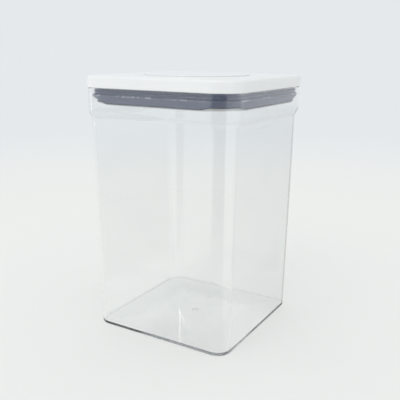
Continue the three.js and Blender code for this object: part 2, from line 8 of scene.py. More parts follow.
import bpy
import numpy as np
from mathutils import Matrix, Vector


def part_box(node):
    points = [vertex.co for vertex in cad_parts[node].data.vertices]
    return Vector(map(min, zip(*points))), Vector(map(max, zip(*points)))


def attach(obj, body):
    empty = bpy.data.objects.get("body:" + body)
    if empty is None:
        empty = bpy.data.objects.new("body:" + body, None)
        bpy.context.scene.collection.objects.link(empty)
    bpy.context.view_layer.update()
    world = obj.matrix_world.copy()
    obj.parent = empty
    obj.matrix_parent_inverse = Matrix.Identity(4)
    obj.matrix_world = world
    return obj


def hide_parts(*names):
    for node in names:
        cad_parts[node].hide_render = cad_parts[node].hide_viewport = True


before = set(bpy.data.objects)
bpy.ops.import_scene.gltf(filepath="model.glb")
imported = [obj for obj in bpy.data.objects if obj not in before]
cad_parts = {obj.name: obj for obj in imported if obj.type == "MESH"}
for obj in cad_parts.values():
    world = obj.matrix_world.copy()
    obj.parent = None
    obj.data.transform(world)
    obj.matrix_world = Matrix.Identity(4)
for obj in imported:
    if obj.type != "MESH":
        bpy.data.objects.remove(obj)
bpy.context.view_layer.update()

METRE = 1000.0

# Clear body
FLARE = 3.4
DRAFT = 3.3
MOUTH_CORNER = 21.5
SHOULDER_CORNER = 16.5
FOOT_CORNER = 13.5
WALL = 2.2
MOUTH_WALL = 3.3
FLOOR = 2.2
FLARE_TOP = 211.0
FLARE_HEIGHT = 10.0
FOOT_FILLET = 1.5
FOOT_WIDTH = 6.0
FLOOR_RISE = 0.6
FLOOR_RISE_SHARE = 0.85
FLOOR_FILLET = 1.0
RIM_ROUND = 0.8
LEAST_CORNER = 0.5
GATE_RADIUS = 3.2
GATE_DEPTH = 0.7
GATE_NUB_RADIUS = 0.9
GATE_NUB = 0.45

# Lid cover
COVER_WALL = 2.2
COVER_PLATE = 3.0
COVER_FALL = 0.2
COVER_EDGE = 2.0
SKIRT_HEIGHT = 10.6
SKIRT_ROUND = 0.5
WELL_GAP = 0.6
WELL_EDGE = 0.8
BOSS_RADIUS = 3.6
BOSS_SPREAD = 56.7
PILOT_RADIUS = 1.6
PILOT_DEPTH = 7.3
SINK = 0.3

# Button
BUTTON_EDGE = 0.7
BUTTON_DISH = 0.5
BUTTON_PLATE = 2.4
BUTTON_WALL = 2.0
CAM_SLOPE = 1 / 8
STEM_RADIUS = 4.2
STEM_LENGTH = 8.0
SEAT_WALL = 1.2
SPRING_WIRE = 1.4
SPRING_PLAY = 0.3
SPRING_TURNS = 5.5
SPRING_END_PITCH = 2.0

# Seal and closing plate, whose inner corners turn round a centre of their own
CORE_CENTRE = 47.5
SEAL_THICK = 4.3
SEAL_LIP = 7.2
SEAL_LIP_HEIGHT = 1.1
SEAL_FOOT_INSET = 1.1
SEAL_FOOT_ROUND = 0.7
SEAL_FOOT_RISE = 1.6
SEAL_RISE_SHARE = 1 / 3
SEAL_NECK_INSET = 2.5
SEAL_BEAD_INSET = 1.5
SEAL_BEAD_HEIGHT = 1.2
SEAL_BEAD_ROUND = 0.25
SEAL_ROUND = 0.4
PLATE = 1.8
PLATE_EDGE = 0.45
PLATE_PANEL = 0.4
PLATE_BORDER = 9.0
PLATE_THINNING = 0.9
PLATE_CORNER_RUN = 25.0
HOOK_WIDTH = 10.0
HOOK_THICK = 1.6
HOOK_NIB = 0.9
HOOK_CATCH = 4.0
SLOT_INSET = 10.7

# Latch wire and screws
WIRE = 1.4
WIRE_BEND = 2.8
SCREW_RADIUS = 1.3
SCREW_CORE = 0.95
SCREW_PITCH = 0.9
SCREW_TIP = 1.6
HEAD_RADIUS = 2.8
HEAD_HEIGHT = 2.0
HEAD_ROUND = 0.8
CROSS_REACH = 1.7
CROSS_WIDTH = 0.55
CROSS_DEPTH = 1.1

# Fineness of the surfaces: numbers of points, steps and rings. The dish's first two rings are shares of its
# radius, a support's reach and a pole's size are in millimetres, and the least sharp edge is in degrees.
SIDE_POINTS = 18
CORNER_POINTS = 16
ROUND_POINTS = 128
SMALL_POINTS = 48
WIRE_POINTS = 16
ARC_STEPS = 6
SEAL_ARC_STEPS = 4
SMALL_ARC_STEPS = 3
FLOOR_RINGS = 30
COVER_TOP_RINGS = 8
COVER_UNDER_RINGS = 4
PLATE_RINGS = 3
DISH_RINGS = 12
DISH_EDGE = (0.995, 0.98)
TURN_STEPS = 40
BEND_STEPS = 12
UPRIGHT_STEPS = 8
REACH_STEPS = 4
FACE_RINGS = 16
SHANK_RINGS = 72
STAGE_RINGS = 24
SUPPORT = 0.25
SAME_PLACE = 1e-9
SHARP_ANGLE = 40.0

# The view, measured from the middle of the foot: degrees, millimetres
CAMERA_AZIMUTH = 31.046
CAMERA_REACH = 549.912
CAMERA_HEIGHT = 262.276
CAMERA_YAW = -0.351
CAMERA_PITCH = 14.566
CAMERA_ROLL = 0.446
CAMERA_LENS = 51.497
SENSOR_WIDTH = 36.0

# Clear plastic: linear colours, the light that it takes on each metre, which darkens its edges, and its
# wear. The heights in metres are those over which scuffs at the foot and the wear under it come in.
CLEAR_IOR = 1.57
CLEAR_CLEAN = (0.988, 0.992, 0.992, 1)
CLEAR_WORN = (0.955, 0.962, 0.965, 1)
CLEAR_DENSITY = 6.0
CLEAR_DEPTH = (0.58, 0.61, 0.62, 1)
CLEAR_ROUGHNESS = (0.0, 0.16)
CLEAR_SMUDGE = 0.35
CLEAR_BUMP = (0.0004, 0.08)
SCUFF_SCALE = 190.0
SCUFF_RANGE = (0.58, 0.68)
SCUFF_HEIGHT = (0.009, 0.002)
CONTACT_HEIGHT = (0.0006, 0.0001)

# White plastic, and the radii and heights in metres over which the button's polish and the painted shade on
# its side, which stands for the shadow in the gap round it, come in
WHITE_IOR = 1.49
WHITE_TONES = ((0.862, 0.878, 0.873, 1), (0.884, 0.894, 0.886, 1))
WHITE_WORN = (0.84, 0.853, 0.85, 1)
WHITE_ROUGHNESS = (0.3, 0.38)
WHITE_SMUDGE = 0.3
WHITE_BUMP = 0.00002
WHITE_BUMP_STRENGTH = (0.15, 0.02)
# Painted shade: grey of the button's side above the cover, standing for the shadow in the gap
BUTTON_GAP_SHADE = (0.76, 0.77, 0.77, 1)
BUTTON_SMOOTHING = 0.25
BUTTON_POLISH = (0.0496, 0.0490)
BUTTON_HEIGHT = (0.2392, 0.2402)
BUTTON_SHADE_HEIGHT = (0.24175, 0.2413)
BUTTON_SHADE_RADIUS = (0.0460, 0.0470)

# Silicone, with the height in metres of the seal's lip and how far the painted highlight glints along it
# reach
SILICONE_IOR = 1.43
SILICONE_TONES = ((0.244, 0.270, 0.380, 1), (0.270, 0.295, 0.408, 1))
SILICONE_BLOOM = (0.33, 0.345, 0.44, 1)
SILICONE_SMUDGE = 0.35
# Painted highlight: pale colour of the glints along the lip
SILICONE_GLINT = (0.80, 0.81, 0.86, 1)
SILICONE_ROUGHNESS = (0.3, 0.55)
SILICONE_BUMP = (0.00005, 0.4)
LIP_HEIGHT = 0.2239
LIP_GLINT_REACH = 0.0012
LIP_GLINT_PATCH_SCALE = 26.0
LIP_GLINT_PATCH = (0.42, 0.6)
LIP_GLINT_SPECK_SCALE = 240.0
LIP_GLINT_SPECK = (0.4, 0.62, 0.12, 1.0)

# Inner plastic and steel
NATURAL_TONES = ((0.74, 0.73, 0.67, 1), (0.79, 0.78, 0.73, 1))
NATURAL_SCRATCH = (0.68, 0.67, 0.62, 1)
NATURAL_ROUGHNESS = (0.42, 0.3)
STEEL_BRIGHT = (0.66, 0.665, 0.675, 1)
STEEL_DULL = (0.50, 0.50, 0.49, 1)
STEEL_GRAIN = (0.3, 0.7, 0.22, 0.4)
SMALL_BUMP = (0.00002, 0.4)

# Marks of use: the noise that counts as a smudge, and each way of strokes by its turn and its stretch
SMUDGE_RANGE = (0.5, 0.72)
STROKES = (((0.5, 0.25, 0.6), (1.0, 0.05, 1.0)), ((-0.4, 0.5, -0.8), (0.06, 1.0, 1.0)))
STROKE_WIDTH = 0.006
STROKE_PATCH_SCALE = 35.0
STROKE_PATCH = (0.55, 0.68)
DRIFT_SCALE = 9.0

# How often light may turn on its way through the clear walls
MOST_BOUNCES = 128
LIGHT_BOUNCES = {
    "max_bounces": MOST_BOUNCES, "transmission_bounces": MOST_BOUNCES, "glossy_bounces": MOST_BOUNCES,
    "diffuse_bounces": 8,
}

# Stage: lengths in metres, shares of the floor's own glow, and linear colours of what lies behind the object
FLOOR_REACH = 8.0
FLOOR_DROP = 0.00015
NEAR_FLOOR = 0.22
FAR_FLOOR = 0.55
FLOOR_THROUGH = 0.95
FLOOR_SHOWN = 0.68
TABLE_END = (0.4, 1.6)
WALL_COLOUR = (0.783, 0.815, 0.840, 1)
TABLE_COLOUR = (0.842, 0.863, 0.842, 1)
FLOOR_COLOUR = (0.90, 0.91, 0.90, 1)
FLOOR_ROUGHNESS = 0.85
FLOOR_SHINE = 0.2
ROOM_LIGHT = (0.86, 0.87, 0.88, 1)
DARK_ROOM = (0.03, 0.03, 0.035, 1)

# Sides that are dark in the shine of a surface: bearing, half width and softness in degrees
DARK_SIDES = {"Room": (21.0, 33.0, 8.0), "Table": (149.0, 30.0, 18.0)}

# The climb of a direction over which the dark room comes in, and the same in metres for the dark table
DARK_CLIMB = (0.36, 0.16)
DARK_TABLE = (2.8, 1.2)
DARK_TABLE_SHARE = 0.3

# Lamps: place, target, width and height in metres, power in watts
LAMPS = {
    "key": {"place": (-0.24, -1.68, 2.0), "target": (0, 0, 0.12), "size": (1.4, 1.4), "power": 10},
    "side_strip": {
        "place": (-1.18, -0.21, 0.35), "target": (0, 0, 0.15), "size": (0.08, 0.9), "power": 0.5,
        "through": False},
    "back_slit": {
        "place": (-0.477, 0.713, 0.516), "target": (0, -0.03, 0), "size": (0.011, 0.2), "power": 0.0114},
}


def node_box(name):
    """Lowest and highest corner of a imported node, in millimetres."""
    low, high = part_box(name)
    return np.array(low) * METRE, np.array(high) * METRE


body_low, body_high = node_box("canister_body")
cover_low, cover_high = node_box("lid_cover")
button_low, button_high = node_box("button_cap")
seal_low, seal_high = node_box("gasket")
plate_low, plate_high = node_box("closing_plate")
spring_low, spring_high = node_box("pop_spring")
wire_low, wire_high = node_box("latch_wire")

mouth_half = body_high[0]
shoulder_half = mouth_half - FLARE
foot_half = shoulder_half - DRAFT
corner_centre = mouth_half - MOUTH_CORNER
lid_half = cover_high[0]
cover_top = cover_high[2]
cover_under = cover_top - COVER_PLATE
skirt_bottom = cover_top - SKIRT_HEIGHT
button_radius = button_high[0]
button_top = button_high[2]
well_radius = button_radius + WELL_GAP
cap_under = button_top - BUTTON_DISH - BUTTON_PLATE
cam_top = button_top - BUTTON_EDGE
cam_bottom = button_low[2]
cam_foot = button_radius - (cam_top - cam_bottom) * CAM_SLOPE
spring_radius = spring_high[0] - SPRING_WIRE / 2
seat_radius = spring_high[0] + SPRING_PLAY


def outline_tables():
    """A square outline with round corners is core * anchor + corner * outward at each of its points.

    Anchor runs along the sides of the unit square and waits at its corners while outward, the outline's
    normal, turns there. Bearing is the direction from the middle to each point, for rings that turn round.
    """
    side = np.sin(np.linspace(-np.pi / 2, np.pi / 2, SIDE_POINTS, endpoint=False))
    turn = np.linspace(0, np.pi / 2, CORNER_POINTS, endpoint=False)
    along = np.concatenate([side, np.ones(CORNER_POINTS)])
    angle = np.concatenate([np.zeros(SIDE_POINTS), turn])
    anchor = np.column_stack([np.ones(len(along)), along])
    outward = np.column_stack([np.cos(angle), np.sin(angle)])
    quarters = np.arange(4) * np.pi / 2
    spin = np.array([[np.cos(quarters), np.sin(quarters)], [-np.sin(quarters), np.cos(quarters)]])
    anchor = np.concatenate(np.einsum("pi,ijq->qpj", anchor, spin))
    outward = np.concatenate(np.einsum("pi,ijq->qpj", outward, spin))
    point = anchor * (1 - MOUTH_CORNER / mouth_half) + outward * MOUTH_CORNER / mouth_half
    return anchor, outward, point / np.linalg.norm(point, axis=1, keepdims=True)


def smooth_step(share):
    """Smooth way from 0 to 1, level at both ends."""
    share = np.clip(share, 0, 1)
    return share * share * (3 - 2 * share)


ANCHOR, OUTWARD, BEARING = outline_tables()
CORNER_SHARE = smooth_step(np.abs(OUTWARD).min(axis=1) / SEAL_RISE_SHARE)


def square_rings(half, corner, z, roundness=0.0):
    """Rings of the square outline, one for each half width, corner radius and height.

    Roundness from 0 to 1 draws a ring from the square outline to a circle of radius half, in a straight line
    along each point's way.
    """
    half, corner, z, roundness = np.broadcast_arrays(*np.atleast_1d(half, corner, z, roundness))
    core = (half - corner)[:, None, None]
    square = core * ANCHOR + corner[:, None, None] * OUTWARD
    circle = half[:, None, None] * BEARING
    flat = square + (circle - square) * roundness[:, None, None]
    height = np.broadcast_to(z[:, None, None], flat.shape[:2] + (1,))
    return np.concatenate([flat, height], axis=2)


def lid_rings(profile, centre=corner_centre):
    """Rings of the lid, whose corners turn round one centre: the corner radius is half minus that centre."""
    half, z = profile.T
    return square_rings(half, np.maximum(half - centre, LEAST_CORNER), z)


def between(first, last, steps):
    """Rings on the straight way from one ring to another, both left out."""
    share = np.linspace(0, 1, steps + 2)[1:-1, None, None]
    return first + (last - first) * share


def round_rings(profile, points=ROUND_POINTS, centre=(0.0, 0.0)):
    """Rings of a turned piece: each (radius, z) of the profile goes round an upright line through centre."""
    radius, z = profile.T
    angle = np.arange(points) * 2 * np.pi / points
    x = centre[0] + radius[:, None] * np.cos(angle)
    y = centre[1] + radius[:, None] * np.sin(angle)
    return np.stack([x, y, np.broadcast_to(z[:, None], x.shape)], axis=2)


def circle_like(radius, z):
    """One round ring whose points lie at the bearings of the square outline."""
    return square_rings(radius, LEAST_CORNER, z, 1.0)


def rounded_profile(corners, steps=ARC_STEPS):
    """Polyline of (across, z, radius) corners, each turned into an arc tangent to both its sides.

    A support point lies just outside each arc, so that the flats between the arcs stay flat.
    """
    table = np.array(corners, float)
    points, radii = table[:, :2], table[:, 2]
    made = []
    for i, (point, radius) in enumerate(zip(points, radii)):
        if radius == 0:
            made.append(point[None])
            continue
        back = points[i - 1] - point
        ahead = points[(i + 1) % len(points)] - point
        back, ahead = back / np.linalg.norm(back), ahead / np.linalg.norm(ahead)
        half_angle = math.acos(np.clip(back @ ahead, -1, 1)) / 2
        middle = back + ahead
        centre = point + middle / np.linalg.norm(middle) * radius / math.sin(half_angle)
        reach = radius / math.tan(half_angle)
        start, end = point + back * reach - centre, point + ahead * reach - centre
        first = math.atan2(start[1], start[0])
        sweep = math.remainder(math.atan2(end[1], end[0]) - first, 2 * math.pi)
        angle = first + sweep * np.linspace(0, 1, steps + 1)
        arc = centre + radius * np.column_stack([np.cos(angle), np.sin(angle)])
        spare = min(SUPPORT, radius / 2)
        made.append(np.vstack([arc[0] + back * spare, arc, arc[-1] + ahead * spare]))
    return np.vstack(made)


def skin(rings, looped=False):
    """Vertices and faces of the skin through a grid of rings.

    Each quad joins two neighbours of one ring to those of the next. The profile keeps the solid on its left,
    so the faces point outwards. A looped skin joins its last ring to its first. Otherwise a first or last
    ring whose points coincide becomes a pole, and any other end is closed by one flat face.
    """
    count, width = rings.shape[:2]
    index = np.arange(count * width).reshape(count, width)
    poles = [not looped and bool(np.ptp(rings[end], axis=0).max() < SAME_PLACE) for end in (0, -1)]
    low = index if looped else index[:-1]
    high = np.roll(index, -1, axis=0) if looped else index[1:]
    quads = np.stack([low, np.roll(low, -1, axis=1), np.roll(high, -1, axis=1), high], axis=2)
    body = quads[poles[0]:len(quads) - poles[1]]
    faces = body.reshape(-1, 4).tolist()
    if poles[0]:
        fan = quads[0][:, 2:]
        faces += np.column_stack([np.full(width, index[0, 0]), fan]).tolist()
    elif not looped:
        faces.append(index[0, ::-1].tolist())
    if poles[1]:
        fan = quads[-1][:, :2]
        faces += np.column_stack([fan, np.full(width, index[-1, 0])]).tolist()
    elif not looped:
        faces.append(index[-1].tolist())
    return rings.reshape(-1, 3), faces


def tube(path, side, radius):
    """Skin of a round wire: at each point of the path a circle spanned by side and the other normal."""
    ahead = np.gradient(path, axis=0)
    ahead /= np.linalg.norm(ahead, axis=1, keepdims=True)
    other = np.cross(ahead, side)
    angle = np.arange(WIRE_POINTS) * 2 * np.pi / WIRE_POINTS
    spoke = np.cos(angle)[None, :, None] * side[:, None] + np.sin(angle)[None, :, None] * other[:, None]
    return skin(path[:, None] + radius * spoke)


def prism(outline, half_length, turn):
    """Block whose (x, z) outline, anticlockwise from the front, is carried along Y and turned about Z."""
    x, z = np.array(outline, float).T
    ends = np.array([half_length, -half_length])[:, None]
    grid = np.stack(np.broadcast_arrays(x, ends, z), axis=2)
    cos, sin = math.cos(turn), math.sin(turn)
    spun = np.stack([grid[..., 0] * cos - grid[..., 1] * sin,
                     grid[..., 0] * sin + grid[..., 1] * cos, grid[..., 2]], axis=2)
    return skin(spun)


def piece(name, shells, material, body, node):
    """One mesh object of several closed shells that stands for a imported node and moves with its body."""
    vertices, faces, offset = [], [], 0
    for points, shell_faces in shells:
        vertices.append(points)
        faces += [[corner + offset for corner in face] for face in shell_faces]
        offset += len(points)
    used = np.zeros(offset, bool)
    used[np.concatenate([np.array(face) for face in faces])] = True
    place = np.cumsum(used) - 1
    mesh = bpy.data.meshes.new(name)
    mesh.from_pydata(np.vstack(vertices)[used] / METRE, [], [place[face].tolist() for face in faces])
    mesh.shade_smooth()
    mesh.set_sharp_from_angle(angle=math.radians(SHARP_ANGLE))
    mesh.materials.append(material)
    made = bpy.data.objects.new(name, mesh)
    bpy.context.scene.collection.objects.link(made)
    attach(made, body)
    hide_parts(node)


# Surfaces of the pieces


def body_size(z):
    """Outer half width, corner radius and wall of the clear body: drafted, then flared to the mouth."""
    flare_bottom = FLARE_TOP - FLARE_HEIGHT
    climb = np.clip(z / flare_bottom, 0, 1)
    flare = smooth_step((z - flare_bottom) / FLARE_HEIGHT)
    half = foot_half + DRAFT * climb + FLARE * flare
    corner = FOOT_CORNER + (SHOULDER_CORNER - FOOT_CORNER) * climb
    corner = corner + (MOUTH_CORNER - SHOULDER_CORNER) * flare
    return half, corner, WALL + (MOUTH_WALL - WALL) * flare


def floor_rings(edge, hub, rise):
    """Rings from the foot's inner edge to the middle: straight ways that climb in one smooth step."""
    share = np.linspace(0, 1, FLOOR_RINGS + 2)[1:-1]
    rings = edge + (hub - edge) * share[:, None, None]
    rings[..., 2] = edge[..., 2] + rise * smooth_step(share / FLOOR_RISE_SHARE)[:, None]
    return rings


def clear_body():
    """Clear body: one profile from the gate mark under the floor, up the wall, over the rim and back inside.

    Across is measured from the outer wall, whose size follows from the height. Within the foot the rings of
    both faces of the floor turn from the square outline to circles, and its underside climbs a little.
    """
    height = body_high[2]
    foot_inset = FOOT_FILLET + FOOT_WIDTH
    flare = np.linspace(FLARE_TOP - FLARE_HEIGHT, FLARE_TOP, 2 * ARC_STEPS + 1)
    profile = rounded_profile([
        (-foot_inset, 0, 0),
        (0, 0, FOOT_FILLET),
        *[(0, z, 0) for z in flare],
        (0, height, RIM_ROUND),
        (-MOUTH_WALL, height, RIM_ROUND),
        *[(-wall, z, 0) for wall, z in zip(body_size(flare)[2][::-1], flare[::-1])],
        (-WALL, FLOOR, FLOOR_FILLET),
        (-foot_inset, FLOOR, 0),
    ])
    across, z = profile.T
    half, corner, _ = body_size(z)
    wall = square_rings(half + across, np.maximum(corner + across, LEAST_CORNER), z)
    gate_top = FLOOR_RISE + GATE_DEPTH
    gate = rounded_profile([
        (0, gate_top - GATE_NUB, 0),
        (GATE_NUB_RADIUS, gate_top - GATE_NUB, GATE_NUB / 3),
        (GATE_NUB_RADIUS, gate_top, GATE_NUB / 4),
        (GATE_RADIUS - GATE_DEPTH / 2, gate_top, GATE_DEPTH / 3),
        (GATE_RADIUS, FLOOR_RISE, GATE_DEPTH / 3),
        (GATE_RADIUS + GATE_DEPTH, FLOOR_RISE, 0),
    ], steps=SMALL_ARC_STEPS)
    mark = np.concatenate([circle_like(radius, z) for radius, z in gate])
    hub = circle_like(GATE_RADIUS, FLOOR)
    underside = floor_rings(wall[:1], mark[-1:], FLOOR_RISE)[::-1]
    inside = floor_rings(wall[-1:], hub, 0)
    centre = circle_like(0, FLOOR)
    return [skin(np.concatenate([mark, underside, wall, inside, hub, centre]))]


def boss(x, y):
    """Screw boss under the cover: a turned tube with a blind pilot hole, sunk a little into the plate."""
    low = cover_low[2]
    profile = rounded_profile([
        (0, low + PILOT_DEPTH, 0),
        (PILOT_RADIUS, low + PILOT_DEPTH, 0),
        (PILOT_RADIUS, low, SINK),
        (BOSS_RADIUS, low, SINK),
        (BOSS_RADIUS, cover_under + SINK, 0),
        (0, cover_under + SINK, 0),
    ], steps=SMALL_ARC_STEPS)
    return skin(round_rings(profile, SMALL_POINTS, (x, y)))


def cover():
    """White cover: skirt, rounded edge, a top that rises to the round well, and the hollow below.

    The top and the underside are straight ways between a square ring and a round one.
    """
    edge_top = cover_top - COVER_FALL
    inside = lid_half - COVER_WALL
    outer = lid_rings(rounded_profile([
        (inside, cover_under - SUPPORT, 0),
        (inside, skirt_bottom, SKIRT_ROUND),
        (lid_half, skirt_bottom, SKIRT_ROUND),
        (lid_half, edge_top, COVER_EDGE),
        (lid_half - COVER_EDGE - 2 * SUPPORT, edge_top, 0),
    ]))
    well = np.concatenate([circle_like(radius, z) for radius, z in rounded_profile([
        (well_radius + 2 * WELL_EDGE, cover_top, 0),
        (well_radius, cover_top, WELL_EDGE),
        (well_radius, cover_under, 0),
    ])])
    top = between(outer[-1:], well[:1], COVER_TOP_RINGS)
    corner = lid_rings(np.array([[inside, cover_under]]))
    underside = between(well[-1:], corner, COVER_UNDER_RINGS)
    shell = skin(np.concatenate([outer, top, well, underside, corner]), looped=True)
    places = [(x * BOSS_SPREAD, y * BOSS_SPREAD) for x in (-1, 1) for y in (-1, 1)]
    return [shell, *[boss(x, y) for x, y in places]]


def button():
    """Round button turned in one profile: stem with its pilot hole, spring seat, cam skirt, edge and dish.

    The skirt narrows downwards by the cam's slope, and the dish rises with the square of the radius.
    """
    stem_end = cap_under - STEM_LENGTH
    cam_inside = button_radius - (cam_top - cap_under) * CAM_SLOPE - BUTTON_WALL
    below = rounded_profile([
        (0, stem_end + PILOT_DEPTH, 0),
        (PILOT_RADIUS, stem_end + PILOT_DEPTH, 0),
        (PILOT_RADIUS, stem_end, SINK),
        (STEM_RADIUS, stem_end, SINK),
        (STEM_RADIUS, cap_under, SINK),
        (seat_radius, cap_under, SINK),
        (seat_radius, cap_under - SEAT_WALL, SINK),
        (seat_radius + SEAT_WALL, cap_under - SEAT_WALL, SINK),
        (seat_radius + SEAT_WALL, cap_under, SINK),
        (cam_inside, cap_under, SINK),
        (cam_foot - BUTTON_WALL, cam_bottom, SINK),
        (cam_foot, cam_bottom, SINK),
        (button_radius, cam_top, 0),
    ], steps=SMALL_ARC_STEPS)
    angle = np.linspace(0, np.pi / 2, 2 * ARC_STEPS + 1)[1:]
    flat_radius = button_radius - BUTTON_EDGE
    edge_radius, edge_z = flat_radius + BUTTON_EDGE * np.cos(angle), cam_top + BUTTON_EDGE * np.sin(angle)
    edge = np.column_stack([edge_radius, edge_z])
    share = np.concatenate([DISH_EDGE[:1], np.linspace(DISH_EDGE[1], 0, DISH_RINGS)])
    dish = np.column_stack([flat_radius * share, button_top - BUTTON_DISH * (1 - share ** 2)])
    return [skin(round_rings(np.vstack([below, edge, dish])))]


def seal():
    """Soft seal ring: foot, flared lip, recessed neck with a bead, all as one rounded loop of rings.

    The corners' centre goes over from the carrier's to the mouth's on the way outwards and up to the lip,
    and the foot's rise in the corners fades on the same way up.
    """
    outer, low, high = seal_high[0], seal_low[2], seal_high[2]
    inner = outer - SEAL_THICK
    neck = outer - SEAL_NECK_INSET
    foot = outer - SEAL_FOOT_INSET
    lip = low + SEAL_LIP
    lip_low = lip - SEAL_LIP_HEIGHT
    neck_low = lip + SEAL_NECK_INSET
    half, z = rounded_profile([
        (inner, low, SEAL_ROUND),
        (foot - SEAL_FOOT_ROUND, low, SEAL_ROUND),
        (foot, low + SEAL_FOOT_ROUND, SEAL_ROUND),
        (outer, lip_low, SEAL_ROUND),
        (outer, lip, SEAL_ROUND),
        (neck, lip + SEAL_LIP_HEIGHT, SEAL_ROUND),
        (neck, neck_low, SEAL_BEAD_ROUND),
        (outer - SEAL_BEAD_INSET, neck_low + SEAL_BEAD_HEIGHT / 2, SEAL_BEAD_ROUND),
        (neck, neck_low + SEAL_BEAD_HEIGHT, SEAL_BEAD_ROUND),
        (neck, high, SEAL_ROUND),
        (inner, high, SEAL_ROUND),
    ], steps=SEAL_ARC_STEPS).T
    climb = np.clip((z - low - SEAL_FOOT_ROUND) / (lip_low - low - SEAL_FOOT_ROUND), 0, 1)
    outwards = np.clip((half - inner) / (neck - inner), 0, 1)
    rings = square_rings(half, half - CORE_CENTRE - (corner_centre - CORE_CENTRE) * climb * outwards, z)
    rings[..., 2] += SEAL_FOOT_RISE * (1 - climb)[:, None] * CORNER_SHARE
    return [skin(rings, looped=True)]


def plate():
    """Closing plate: thinned rounded edge, a shallow panel below, and a hook near each side.

    The edge stands up in the corners, under the seal's raised foot. Below, that rise grows with the cube of
    the way out, and the thinning with the way itself.
    """
    outer, low = plate_high[0], plate_low[2]
    top = low + PLATE
    seal_inner = seal_high[0] - SEAL_THICK
    profile = rounded_profile([
        (outer - PLATE_BORDER - 2 * PLATE_PANEL, low + PLATE_PANEL, 0),
        (outer - PLATE_BORDER - PLATE_PANEL, low + PLATE_PANEL, PLATE_PANEL / 2),
        (outer - PLATE_BORDER, low, PLATE_PANEL / 2),
        (outer, low, PLATE_EDGE),
        (outer, top, PLATE_EDGE),
        (seal_inner + SINK, top, 0),
        (seal_inner, top, 0),
        (outer - PLATE_BORDER, top, 0),
    ])
    rim = lid_rings(profile, CORE_CENTRE)
    half, z = profile.T
    share = (z - low) / PLATE
    upper = share * np.clip((half - seal_inner) / SINK, 0, 1)
    lower = (1 - share) * np.clip((half - outer + PLATE_BORDER) / PLATE_BORDER, 0, 1)
    corner = (1 - share) * np.clip((half - outer + PLATE_CORNER_RUN) / PLATE_CORNER_RUN, 0, 1) ** 3
    rim[..., 2] += SEAL_FOOT_RISE * (upper + corner)[:, None] * CORNER_SHARE
    rim[..., 2] += PLATE_THINNING * lower[:, None]
    bottom, middle = circle_like(0, low + PLATE_PANEL), circle_like(0, top)
    below, above = between(bottom, rim[:1], PLATE_RINGS), between(rim[-1:], middle, PLATE_RINGS)
    sheet = skin(np.concatenate([bottom, below, rim, above, middle]))
    inner = (cam_foot + outer - SLOT_INSET - HOOK_THICK) / 2
    back = inner + HOOK_THICK
    catch = low + HOOK_CATCH
    hook = [
        (inner, top - SINK), (back, top - SINK), (back, catch), (back + HOOK_NIB, catch),
        (back, catch + 2 * HOOK_NIB), (inner, catch + 2 * HOOK_NIB),
    ]
    return [sheet, *[prism(hook, HOOK_WIDTH / 2, quarter * np.pi / 2) for quarter in range(4)]]


def spring():
    """Coil spring: a wire on a helix whose pitch is drawn in over the first and the last turn."""
    low, high = spring_low[2] + SPRING_WIRE / 2, spring_high[2] - SPRING_WIRE / 2
    turn = np.linspace(0, SPRING_TURNS, int(SPRING_TURNS * TURN_STEPS) + 1)
    open_pitch = (high - low - 2 * SPRING_END_PITCH) / (SPRING_TURNS - 2)
    z = (low + SPRING_END_PITCH * np.minimum(turn, 1)
         + open_pitch * np.clip(turn - 1, 0, SPRING_TURNS - 2)
         + SPRING_END_PITCH * np.maximum(turn - SPRING_TURNS + 1, 0))
    bearing = 2 * np.pi * turn
    outwards = np.column_stack([np.cos(bearing), np.sin(bearing), np.zeros_like(turn)])
    path = spring_radius * outwards + np.column_stack([np.zeros((len(turn), 2)), z])
    return [tube(path, outwards, SPRING_WIRE / 2)]


def latch_wire():
    """Latch wire: straight up from its socket, a quarter bend, and straight into the track."""
    y, low = wire_low[1] + WIRE / 2, wire_low[2]
    high, tip = wire_high[2] - WIRE / 2, wire_high[1]
    angle = np.linspace(np.pi, np.pi / 2, BEND_STEPS + 1)
    bend = np.column_stack([y + WIRE_BEND * (1 + np.cos(angle)), high - WIRE_BEND * (1 - np.sin(angle))])
    climb = np.linspace(low, high - WIRE_BEND, UPRIGHT_STEPS + 1)[:-1]
    ahead = np.linspace(y + WIRE_BEND, tip, REACH_STEPS + 1)[1:]
    upright = np.column_stack([np.full(UPRIGHT_STEPS, y), climb])
    reach = np.column_stack([ahead, np.full(REACH_STEPS, high)])
    line = np.vstack([upright, bend, reach])
    path = np.column_stack([np.zeros(len(line)), line])
    return [tube(path, np.tile([1.0, 0.0, 0.0], (len(path), 1)), WIRE / 2)]


